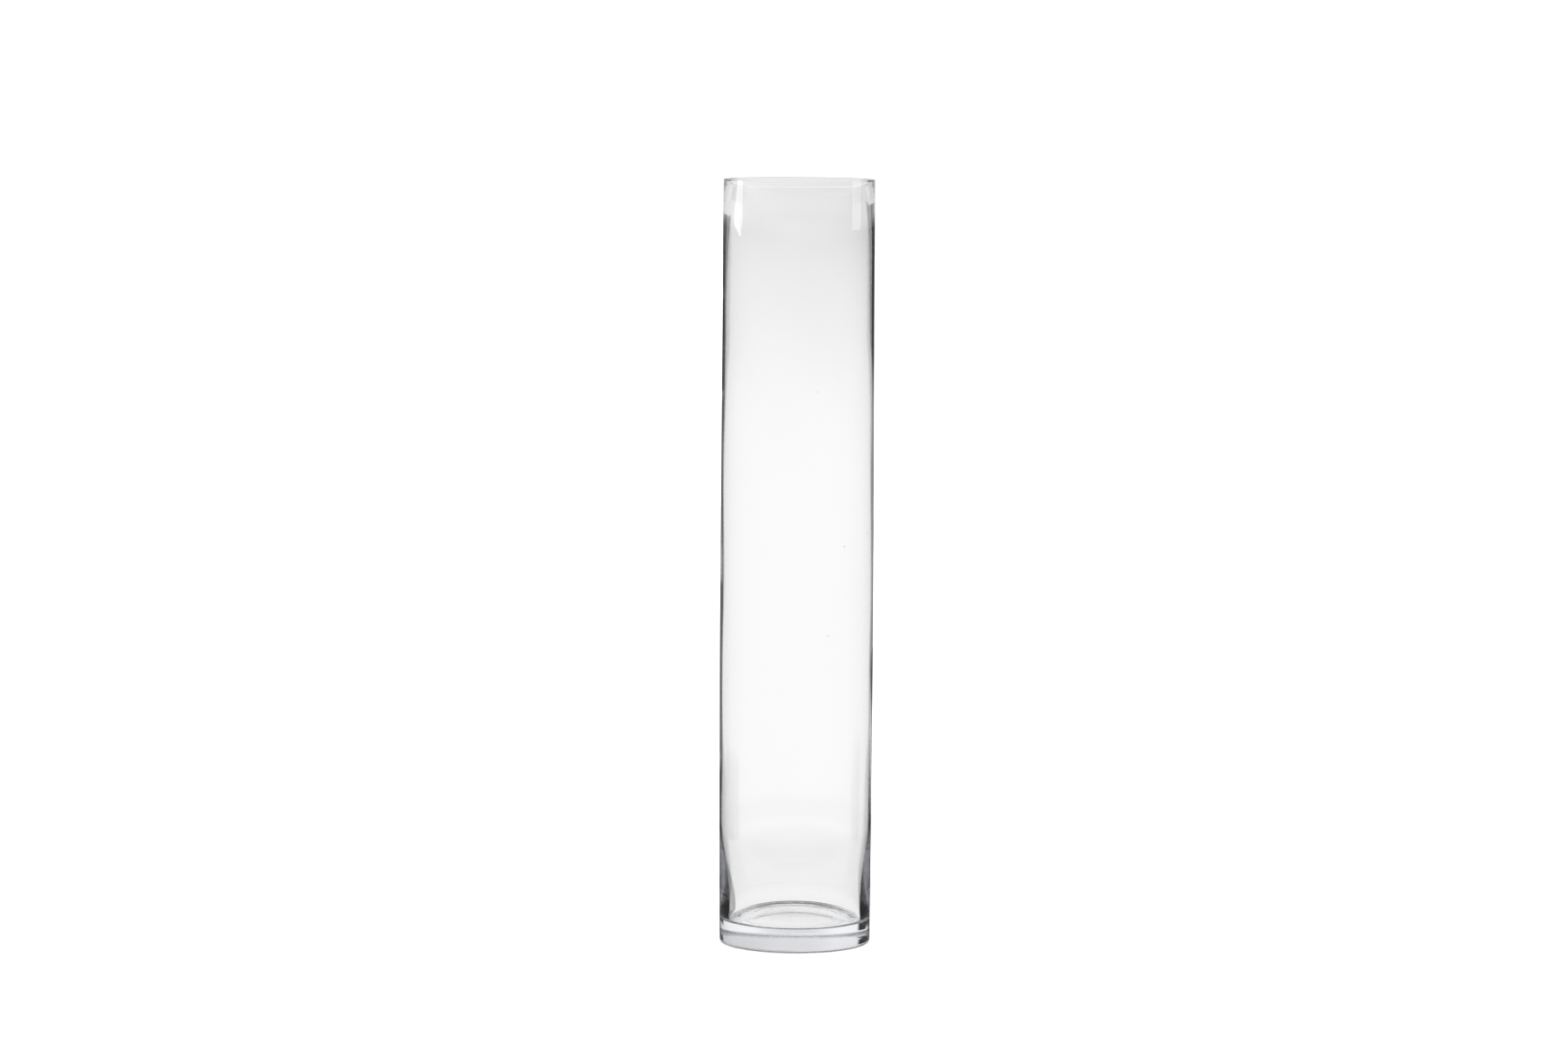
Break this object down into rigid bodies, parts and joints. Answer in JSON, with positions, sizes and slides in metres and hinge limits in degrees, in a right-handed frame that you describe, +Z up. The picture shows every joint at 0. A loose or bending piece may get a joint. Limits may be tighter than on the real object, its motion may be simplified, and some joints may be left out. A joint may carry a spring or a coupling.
{
  "type": "glass cylinder vase",
  "caption": "Tall clear glass cylinder vase with a ground and polished lip, a blown wall that thins towards its middle, and a heavy solid base with a flat inside floor.",
  "frame": {"origin": "centre of the plane that the vase stands on, on the axis of the cylinder", "axes": "+Z up along the axis of the cylinder, towards the mouth; X and Y are alike, because the vase is turned about Z"},
  "size_m": [0.1205, 0.1206, 0.6],
  "materials": {
    "clear_glass": "fire-polished clear glass"
  },
  "bodies": {
    "root": {"lip": "clear_glass", "wall": "clear_glass", "base": "clear_glass"}
  },
  "joints": []
}
